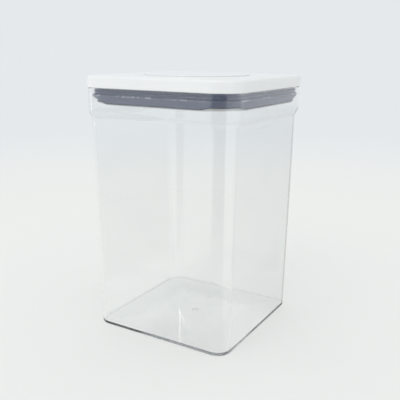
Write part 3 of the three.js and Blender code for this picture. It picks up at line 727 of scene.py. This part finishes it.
def screw(node):
    """Pan-head screw standing head down: a threaded shank and a head with a cross recess.

    The shank's radius rises and falls with the height less the turn, once in each pitch. The recess is
    as deep as the lesser distance to the two arms allows.
    """
    low, high = node_box(node)
    centre = (low + high) / 2
    head_top = low[2] + HEAD_HEIGHT
    angle = np.arange(SMALL_POINTS) * 2 * np.pi / SMALL_POINTS
    share = np.linspace(0, 1, FACE_RINGS)
    face = np.column_stack([share * (HEAD_RADIUS - HEAD_ROUND), np.full(FACE_RINGS, low[2])])
    # The first two points of the rim's profile lie on the face
    rim = rounded_profile([
        (HEAD_RADIUS - HEAD_ROUND, low[2], 0), (HEAD_RADIUS, low[2], HEAD_ROUND),
        (HEAD_RADIUS, head_top, SINK / 2), (SCREW_RADIUS, head_top, 0)])[2:]
    shank_z = np.linspace(head_top + SCREW_PITCH / 2, high[2] - SCREW_TIP, SHANK_RINGS)
    shank = np.column_stack([np.full(SHANK_RINGS, SCREW_RADIUS), shank_z])
    tip = np.array([[0.0, high[2]]])
    rings = round_rings(np.vstack([face, rim, shank, tip]), SMALL_POINTS)
    x, y = rings[:FACE_RINGS, :, 0], rings[:FACE_RINGS, :, 1]
    arm = np.minimum(np.abs(x), np.abs(y))
    inside = np.clip((CROSS_WIDTH - arm) / (CROSS_WIDTH / 2), 0, 1)
    inside *= np.clip((CROSS_REACH - np.hypot(x, y)) / CROSS_WIDTH, 0, 1)
    rings[:FACE_RINGS, :, 2] += CROSS_DEPTH * inside
    first = len(face) + len(rim)
    last = first + SHANK_RINGS
    wave = (shank_z[:, None] / SCREW_PITCH - angle / (2 * np.pi)) % 1
    ridge = 1 - np.abs(2 * wave - 1)
    radius = SCREW_CORE + (SCREW_RADIUS - SCREW_CORE) * ridge
    rings[first:last, :, 0] = radius * np.cos(angle)
    rings[first:last, :, 1] = radius * np.sin(angle)
    return [skin(rings + np.array([centre[0], centre[1], 0]))]


# Materials


def add(tree, kind, inputs=None, **settings):
    """A node with its settings, whose inputs are set to values or linked to other nodes' outputs."""
    made = tree.nodes.new(kind)
    for name, value in settings.items():
        setattr(made, name, value)
    for name, value in (inputs or {}).items():
        if isinstance(value, bpy.types.NodeSocket):
            tree.links.new(value, made.inputs[name])
        else:
            made.inputs[name].default_value = value
    return made


def calc(tree, operation, first, second=0.0):
    """Output of a Math node."""
    return add(tree, "ShaderNodeMath", {0: first, 1: second}, operation=operation).outputs[0]


def ramp(tree, value, low, high, bottom=0.0, top=1.0):
    """A value spread from low..high to bottom..top with soft ends."""
    return add(tree, "ShaderNodeMapRange", {
        "Value": value, "From Min": low, "From Max": high, "To Min": bottom, "To Max": top,
    }, interpolation_type="SMOOTHSTEP").outputs[0]


def tint(tree, share, first, second):
    """Colour between two colours."""
    made = add(tree, "ShaderNodeMix", {"Factor": share}, data_type="RGBA")
    for socket, value in ((made.inputs[6], first), (made.inputs[7], second)):
        if isinstance(value, bpy.types.NodeSocket):
            tree.links.new(value, socket)
        else:
            socket.default_value = value
    return made.outputs[2]


def new_group(name, inputs, outputs):
    """Empty node group with named vector or value inputs and value outputs."""
    tree = bpy.data.node_groups.new(name, "ShaderNodeTree")
    for socket, default in inputs.items():
        kind = "NodeSocketVector" if default is None else "NodeSocketFloat"
        made = tree.interface.new_socket(socket, in_out="INPUT", socket_type=kind)
        if default is not None:
            made.default_value = default
    for socket in outputs:
        tree.interface.new_socket(socket, in_out="OUTPUT", socket_type="NodeSocketFloat")
    return tree, tree.nodes.new("NodeGroupInput"), tree.nodes.new("NodeGroupOutput")


def handling_marks():
    """Marks of use: cloudy smudges, and fine scratches in two directions broken up into short strokes."""
    tree, given, out = new_group(
        "handling_marks", {"Vector": None, "Smudge Scale": 14.0, "Scratch Scale": 60.0},
        ["Smudge", "Scratch"])
    cloud = add(tree, "ShaderNodeTexNoise", {
        "Vector": given.outputs["Vector"], "Scale": given.outputs["Smudge Scale"],
        "Detail": 5.0, "Roughness": 0.55, "Distortion": 0.4})
    tree.links.new(ramp(tree, cloud.outputs["Fac"], *SMUDGE_RANGE), out.inputs["Smudge"])
    strokes = []
    for turn, stretch in STROKES:
        lean = add(tree, "ShaderNodeMapping", {
            "Vector": given.outputs["Vector"], "Rotation": turn, "Scale": stretch})
        line = add(tree, "ShaderNodeTexNoise", {
            "Vector": lean.outputs[0], "Scale": given.outputs["Scratch Scale"], "Detail": 2.0})
        edge = calc(tree, "ABSOLUTE", calc(tree, "SUBTRACT", line.outputs["Fac"], 0.5))
        patch = add(tree, "ShaderNodeTexNoise", {
            "Vector": lean.outputs[0], "Scale": STROKE_PATCH_SCALE, "Detail": 1.0})
        shown = ramp(tree, patch.outputs["Fac"], *STROKE_PATCH)
        strokes.append(calc(tree, "MULTIPLY", ramp(tree, edge, STROKE_WIDTH, 0.0), shown))
    tree.links.new(calc(tree, "MAXIMUM", *strokes), out.inputs["Scratch"])
    return tree


def moulded_grain():
    """Fine unevenness of a moulded face: a grain for the bump and a slow drift of tone."""
    tree, given, out = new_group(
        "moulded_grain", {"Vector": None, "Grain Scale": 900.0}, ["Grain", "Drift"])
    grain = add(tree, "ShaderNodeTexNoise", {
        "Vector": given.outputs["Vector"], "Scale": given.outputs["Grain Scale"], "Detail": 3.0})
    drift = add(tree, "ShaderNodeTexNoise", {
        "Vector": given.outputs["Vector"], "Scale": DRIFT_SCALE, "Detail": 2.0})
    tree.links.new(grain.outputs["Fac"], out.inputs["Grain"])
    tree.links.new(drift.outputs["Fac"], out.inputs["Drift"])
    return tree


def dark_sides():
    """How far a direction points to each dark side, from 0 to 1, by its bearing alone."""
    tree, given, out = new_group("dark_sides", {"Vector": None}, list(DARK_SIDES))
    level = add(tree, "ShaderNodeVectorMath", {
        0: given.outputs["Vector"], 1: (1, 1, 0)}, operation="MULTIPLY")
    unit = add(tree, "ShaderNodeVectorMath", {0: level.outputs[0]}, operation="NORMALIZE")
    for name, (bearing, half_width, softness) in DARK_SIDES.items():
        middle = (math.sin(math.radians(bearing)), -math.cos(math.radians(bearing)), 0)
        towards = add(tree, "ShaderNodeVectorMath", {0: unit.outputs[0], 1: middle}, operation="DOT_PRODUCT")
        edges = [math.cos(math.radians(half_width + way * softness)) for way in (1, -1)]
        tree.links.new(ramp(tree, towards.outputs["Value"], *edges), out.inputs[name])
    return tree


GROUPS = {make.__name__: make() for make in (handling_marks, moulded_grain, dark_sides)}


def use(tree, name, vector, **values):
    """The named node group in a material, with its own values."""
    made = add(tree, "ShaderNodeGroup", node_tree=GROUPS[name])
    tree.links.new(vector, made.inputs["Vector"])
    for socket, value in values.items():
        made.inputs[socket.replace("_", " ").title()].default_value = value
    return made.outputs


def new_material(name):
    """Material with one Principled shader, and the Object coordinates that its patterns read."""
    made = bpy.data.materials.new(name)
    made.use_nodes = True
    tree = made.node_tree
    place = add(tree, "ShaderNodeTexCoord").outputs["Object"]
    return made, tree, tree.nodes["Principled BSDF"], place


def bump(tree, shader, height, distance, strength):
    """Bump of a height in metres on the shader's normal."""
    made = add(tree, "ShaderNodeBump", {"Height": height, "Distance": distance, "Strength": strength})
    tree.links.new(made.outputs[0], shader.inputs["Normal"])


def clear_plastic():
    """Clear moulded plastic, less clear and smooth at smudges, hair scratches and scuffs of the foot."""
    made, tree, shader, place = new_material("clear_plastic")
    shader.inputs["IOR"].default_value = CLEAR_IOR
    shader.inputs["Transmission Weight"].default_value = 1.0
    marks = use(tree, "handling_marks", place, smudge_scale=17.0, scratch_scale=75.0)
    flow = use(tree, "moulded_grain", place, grain_scale=22.0)
    height = add(tree, "ShaderNodeSeparateXYZ", {0: place}).outputs["Z"]
    speck = add(tree, "ShaderNodeTexNoise", {"Vector": place, "Scale": SCUFF_SCALE, "Detail": 3.0})
    specks = ramp(tree, speck.outputs["Fac"], *SCUFF_RANGE)
    scuff = calc(tree, "MULTIPLY", ramp(tree, height, *SCUFF_HEIGHT), specks)
    scuff = calc(tree, "MAXIMUM", scuff, ramp(tree, height, *CONTACT_HEIGHT))
    worn = calc(tree, "MAXIMUM", calc(tree, "MULTIPLY", marks["Smudge"], CLEAR_SMUDGE), marks["Scratch"])
    worn = calc(tree, "MAXIMUM", worn, scuff)
    tree.links.new(tint(tree, worn, CLEAR_CLEAN, CLEAR_WORN), shader.inputs["Base Color"])
    tree.links.new(ramp(tree, worn, 0.0, 1.0, *CLEAR_ROUGHNESS), shader.inputs["Roughness"])
    bump(tree, shader, flow["Grain"], *CLEAR_BUMP)
    depth = add(tree, "ShaderNodeVolumeAbsorption", {"Color": CLEAR_DEPTH, "Density": CLEAR_DENSITY})
    tree.links.new(depth.outputs[0], tree.nodes["Material Output"].inputs["Volume"])
    return made


def white_plastic():
    """White moulded plastic with a soft gloss, a fine grain and a few dull rubbed places.

    Within the well the touch of hands has polished the button. Its side, just above the cover, is painted
    grey: painted shade that stands for the shadow in the gap round the button.
    """
    made, tree, shader, place = new_material("white_plastic")
    shader.inputs["IOR"].default_value = WHITE_IOR
    marks = use(tree, "handling_marks", place, smudge_scale=24.0, scratch_scale=90.0)
    grain = use(tree, "moulded_grain", place, grain_scale=1400.0)
    clean = tint(tree, grain["Drift"], *WHITE_TONES)
    worn = calc(tree, "MAXIMUM", calc(tree, "MULTIPLY", marks["Smudge"], WHITE_SMUDGE), marks["Scratch"])
    colour = tint(tree, worn, clean, WHITE_WORN)
    height = add(tree, "ShaderNodeSeparateXYZ", {0: place}).outputs["Z"]
    level = add(tree, "ShaderNodeVectorMath", {0: place, 1: (1, 1, 0)}, operation="MULTIPLY").outputs[0]
    radius = add(tree, "ShaderNodeVectorMath", {0: level}, operation="LENGTH").outputs["Value"]
    polish = calc(tree, "MULTIPLY", ramp(tree, radius, *BUTTON_POLISH), ramp(tree, height, *BUTTON_HEIGHT))
    rough = ramp(tree, worn, 0.0, 1.0, *WHITE_ROUGHNESS)
    rough = calc(tree, "SUBTRACT", rough, calc(tree, "MULTIPLY", polish, BUTTON_SMOOTHING))
    tree.links.new(rough, shader.inputs["Roughness"])
    # Painted shade: the button's side above the cover is greyed where the gap round it would lie in shadow
    side = calc(tree, "MULTIPLY", ramp(tree, height, *BUTTON_SHADE_HEIGHT), ramp(tree, radius, *BUTTON_SHADE_RADIUS))
    painted_light = calc(tree, "MULTIPLY", polish, side)
    tree.links.new(tint(tree, painted_light, colour, BUTTON_GAP_SHADE), shader.inputs["Base Color"])
    bump(tree, shader, grain["Grain"], WHITE_BUMP, ramp(tree, polish, 0.0, 1.0, *WHITE_BUMP_STRENGTH))
    return made


def grey_silicone():
    """Blue-grey silicone with a thin pale bloom, a smooth uneven skin and painted glints along the lip."""
    made, tree, shader, place = new_material("grey_silicone")
    shader.inputs["IOR"].default_value = SILICONE_IOR
    marks = use(tree, "handling_marks", place, smudge_scale=55.0, scratch_scale=140.0)
    grain = use(tree, "moulded_grain", place, grain_scale=420.0)
    clean = tint(tree, grain["Drift"], *SILICONE_TONES)
    smudge = calc(tree, "MULTIPLY", marks["Smudge"], SILICONE_SMUDGE)
    bloom = calc(tree, "MAXIMUM", smudge, marks["Scratch"])
    colour = tint(tree, bloom, clean, SILICONE_BLOOM)
    height = add(tree, "ShaderNodeSeparateXYZ", {0: place}).outputs["Z"]
    # Painted highlight from here on: pale glints in patches along the lip stand for light shining off it,
    # not wear
    lip = ramp(tree, calc(tree, "ABSOLUTE", calc(tree, "SUBTRACT", height, LIP_HEIGHT)), LIP_GLINT_REACH, 0.0)
    patch = add(tree, "ShaderNodeTexNoise", {"Vector": place, "Scale": LIP_GLINT_PATCH_SCALE, "Detail": 1.0})
    speck = add(tree, "ShaderNodeTexNoise", {"Vector": place, "Scale": LIP_GLINT_SPECK_SCALE, "Detail": 2.0})
    glint_patches = ramp(tree, patch.outputs["Fac"], *LIP_GLINT_PATCH)
    worn = calc(tree, "MULTIPLY", glint_patches, ramp(tree, speck.outputs["Fac"], *LIP_GLINT_SPECK))
    painted_light = calc(tree, "MULTIPLY", lip, worn)
    tree.links.new(tint(tree, painted_light, colour, SILICONE_GLINT), shader.inputs["Base Color"])
    tree.links.new(ramp(tree, bloom, 0.0, 1.0, *SILICONE_ROUGHNESS), shader.inputs["Roughness"])
    bump(tree, shader, grain["Grain"], *SILICONE_BUMP)
    return made


def natural_plastic():
    """Uncoloured slippery plastic of the slides and the post, with a waxy grain and polished tracks."""
    made, tree, shader, place = new_material("natural_plastic")
    marks = use(tree, "handling_marks", place, smudge_scale=60.0, scratch_scale=120.0)
    grain = use(tree, "moulded_grain", place, grain_scale=1100.0)
    clean = tint(tree, grain["Drift"], *NATURAL_TONES)
    tree.links.new(tint(tree, marks["Scratch"], clean, NATURAL_SCRATCH), shader.inputs["Base Color"])
    tree.links.new(ramp(tree, marks["Smudge"], 0.0, 1.0, *NATURAL_ROUGHNESS), shader.inputs["Roughness"])
    bump(tree, shader, grain["Grain"], *SMALL_BUMP)
    return made


def bright_steel():
    """Plated steel of the spring, the wire and the screws, with drawing lines and duller patches."""
    made, tree, shader, place = new_material("bright_steel")
    shader.inputs["Metallic"].default_value = 1.0
    marks = use(tree, "handling_marks", place, smudge_scale=160.0, scratch_scale=400.0)
    grain = use(tree, "moulded_grain", place, grain_scale=2600.0)
    tree.links.new(tint(tree, marks["Smudge"], STEEL_BRIGHT, STEEL_DULL), shader.inputs["Base Color"])
    tree.links.new(ramp(tree, grain["Grain"], *STEEL_GRAIN), shader.inputs["Roughness"])
    bump(tree, shader, marks["Scratch"], *SMALL_BUMP)
    return made


# Stage: floor, room, lights and camera


def light_path(tree):
    """Shares, each 0 or 1, of rays that show a thing to the eye, that shone off one, and that went through.

    The light that falls on things has none of them: it has left a dull surface on its way.
    """
    path = add(tree, "ShaderNodeLightPath").outputs
    falling = calc(tree, "MINIMUM", path["Diffuse Depth"], 1.0)
    sight = calc(tree, "SUBTRACT", 1.0, falling)
    rays = calc(tree, "ADD", path["Is Camera Ray"], path["Is Glossy Ray"])
    seen = calc(tree, "MINIMUM", calc(tree, "ADD", rays, path["Is Transmission Ray"]), sight)
    shone = calc(tree, "MINIMUM", path["Glossy Depth"], sight)
    return seen, shone, calc(tree, "MULTIPLY", path["Is Transmission Ray"], sight)


def floor_material():
    """Pale floor that keeps shadows near the object and goes over into the wall's colour further off.

    Seen through the clear body it is lit too, as light comes to it from all round. From below it is clear.
    """
    made, tree, shader, place = new_material("pale_floor")
    shader.inputs["Base Color"].default_value = FLOOR_COLOUR
    shader.inputs["Roughness"].default_value = FLOOR_ROUGHNESS
    shader.inputs["Specular IOR Level"].default_value = FLOOR_SHINE
    seen, shone, through = light_path(tree)
    distance = add(tree, "ShaderNodeVectorMath", {0: place}, operation="LENGTH").outputs["Value"]
    far = ramp(tree, distance, NEAR_FLOOR, FAR_FLOOR, FLOOR_SHOWN)
    pale = tint(tree, ramp(tree, distance, *TABLE_END), TABLE_COLOUR, WALL_COLOUR)
    sides = use(tree, "dark_sides", place)
    table = calc(tree, "MULTIPLY", sides["Table"], ramp(tree, distance, *DARK_TABLE, 0.0, DARK_TABLE_SHARE))
    dark = calc(tree, "MAXIMUM", calc(tree, "MULTIPLY", sides["Room"], far), table)
    dark = calc(tree, "MULTIPLY", dark, shone)
    glow = add(tree, "ShaderNodeEmission", {"Color": tint(tree, dark, pale, DARK_ROOM)})
    below = calc(tree, "MULTIPLY", through, FLOOR_THROUGH)
    shown = calc(tree, "MAXIMUM", calc(tree, "MULTIPLY", far, seen), below)
    mix = add(tree, "ShaderNodeMixShader", {0: shown})
    tree.links.new(shader.outputs[0], mix.inputs[1])
    tree.links.new(glow.outputs[0], mix.inputs[2])
    under = add(tree, "ShaderNodeMixShader", {0: add(tree, "ShaderNodeNewGeometry").outputs["Backfacing"]})
    tree.links.new(mix.outputs[0], under.inputs[1])
    tree.links.new(add(tree, "ShaderNodeBsdfTransparent").outputs[0], under.inputs[2])
    tree.links.new(under.outputs[0], tree.nodes["Material Output"].inputs["Surface"])
    return made


def make_floor():
    """Round floor: rings whose radius grows with the cube of their number, from a pole under the object."""
    share = np.linspace(0, 1, STAGE_RINGS)[::-1]
    profile = np.column_stack([FLOOR_REACH * share ** 3, np.full(STAGE_RINGS, -FLOOR_DROP)])
    points, faces = skin(round_rings(profile, SMALL_POINTS))
    mesh = bpy.data.meshes.new("floor")
    mesh.from_pydata(points, [], [face for face in faces if len(face) <= 4])
    mesh.materials.append(floor_material())
    made = bpy.data.objects.new("floor", mesh)
    bpy.context.scene.collection.objects.link(made)


def make_room():
    """Room light: an even pale glow, whose dark side shows only in the shine of a surface."""
    world = bpy.data.worlds.new("room")
    world.use_nodes = True
    tree = world.node_tree
    seen, shone, _ = light_path(tree)
    way = add(tree, "ShaderNodeTexCoord").outputs["Generated"]
    climb = add(tree, "ShaderNodeSeparateXYZ", {0: way}).outputs["Z"]
    dark = calc(tree, "MULTIPLY", use(tree, "dark_sides", way)["Room"], ramp(tree, climb, *DARK_CLIMB))
    dark = calc(tree, "MULTIPLY", dark, shone)
    shown = tint(tree, dark, WALL_COLOUR, DARK_ROOM)
    tree.links.new(tint(tree, seen, ROOM_LIGHT, shown), tree.nodes["Background"].inputs["Color"])
    bpy.context.scene.world = world


def facing(back, place, roll=0.0):
    """Matrix of a camera or lamp at a place, looking against back, turned by roll about its own axis."""
    back = np.array(back) / np.linalg.norm(back)
    right = np.cross((0, 0, 1), back)
    right /= np.linalg.norm(right)
    up = np.cross(back, right)
    cos, sin = math.cos(roll), math.sin(roll)
    columns = [right * cos + up * sin, up * cos - right * sin, back]
    turn = Matrix(np.column_stack(columns).tolist()).to_4x4()
    turn.translation = place
    return turn


def make_lamp(name, place, target, size, power, through=True):
    """Soft light of a width and height at a place in metres, facing a target.

    Where through is not set, the lamp does not show behind clear walls.
    """
    data = bpy.data.lights.new(name, "AREA")
    data.shape = "RECTANGLE"
    data.size, data.size_y = size
    data.energy = power
    lamp = bpy.data.objects.new(name, data)
    away = np.array(place) - np.array(target)
    lamp.matrix_world = facing(away, place)
    lamp.visible_transmission = through
    bpy.context.scene.collection.objects.link(lamp)


def make_camera():
    """Camera at the height and bearing of the view, with its small turn, tilt and roll."""
    bearing = math.radians(CAMERA_AZIMUTH)
    heading = math.radians(CAMERA_AZIMUTH + CAMERA_YAW)
    pitch = math.radians(CAMERA_PITCH)
    reach = CAMERA_REACH / METRE
    place = (reach * math.sin(bearing), -reach * math.cos(bearing), CAMERA_HEIGHT / METRE)
    back = (math.sin(heading) * math.cos(pitch), -math.cos(heading) * math.cos(pitch), math.sin(pitch))
    data = bpy.data.cameras.new("camera")
    data.lens = CAMERA_LENS
    data.sensor_width = SENSOR_WIDTH
    camera = bpy.data.objects.new("camera", data)
    camera.matrix_world = facing(back, place, math.radians(CAMERA_ROLL))
    bpy.context.scene.collection.objects.link(camera)
    bpy.context.scene.camera = camera


make_camera()
make_floor()
make_room()
for lamp_name, lamp_settings in LAMPS.items():
    make_lamp(lamp_name, **lamp_settings)

clear, white, silicone = clear_plastic(), white_plastic(), grey_silicone()
natural, steel = natural_plastic(), bright_steel()

piece("clear_body", clear_body(), clear, "canister", "canister_body")
piece("white_cover", cover(), white, "lid", "lid_cover")
piece("push_button", button(), white, "button", "button_cap")
piece("seal_ring", seal(), silicone, "lid", "gasket")
piece("food_plate", plate(), white, "lid", "closing_plate")
piece("lift_spring", spring(), steel, "lid", "pop_spring")
piece("catch_wire", latch_wire(), steel, "lid", "latch_wire")
piece("stem_screw", screw("post_screw"), steel, "button", "post_screw")
for number in range(1, 5):
    node = f"cover_screw_{number}"
    piece(f"lid_screw_{number}", screw(node), steel, "lid", node)

for node, look in {
    "seal_carrier": white, "latch_post": natural, "pusher_front": natural, "pusher_right": natural,
    "pusher_back": natural, "pusher_left": natural,
}.items():
    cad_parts[node].material_slots[0].material = look

bpy.context.scene.view_settings.view_transform = "Standard"
for kind, most in LIGHT_BOUNCES.items():
    setattr(bpy.context.scene.cycles, kind, most)
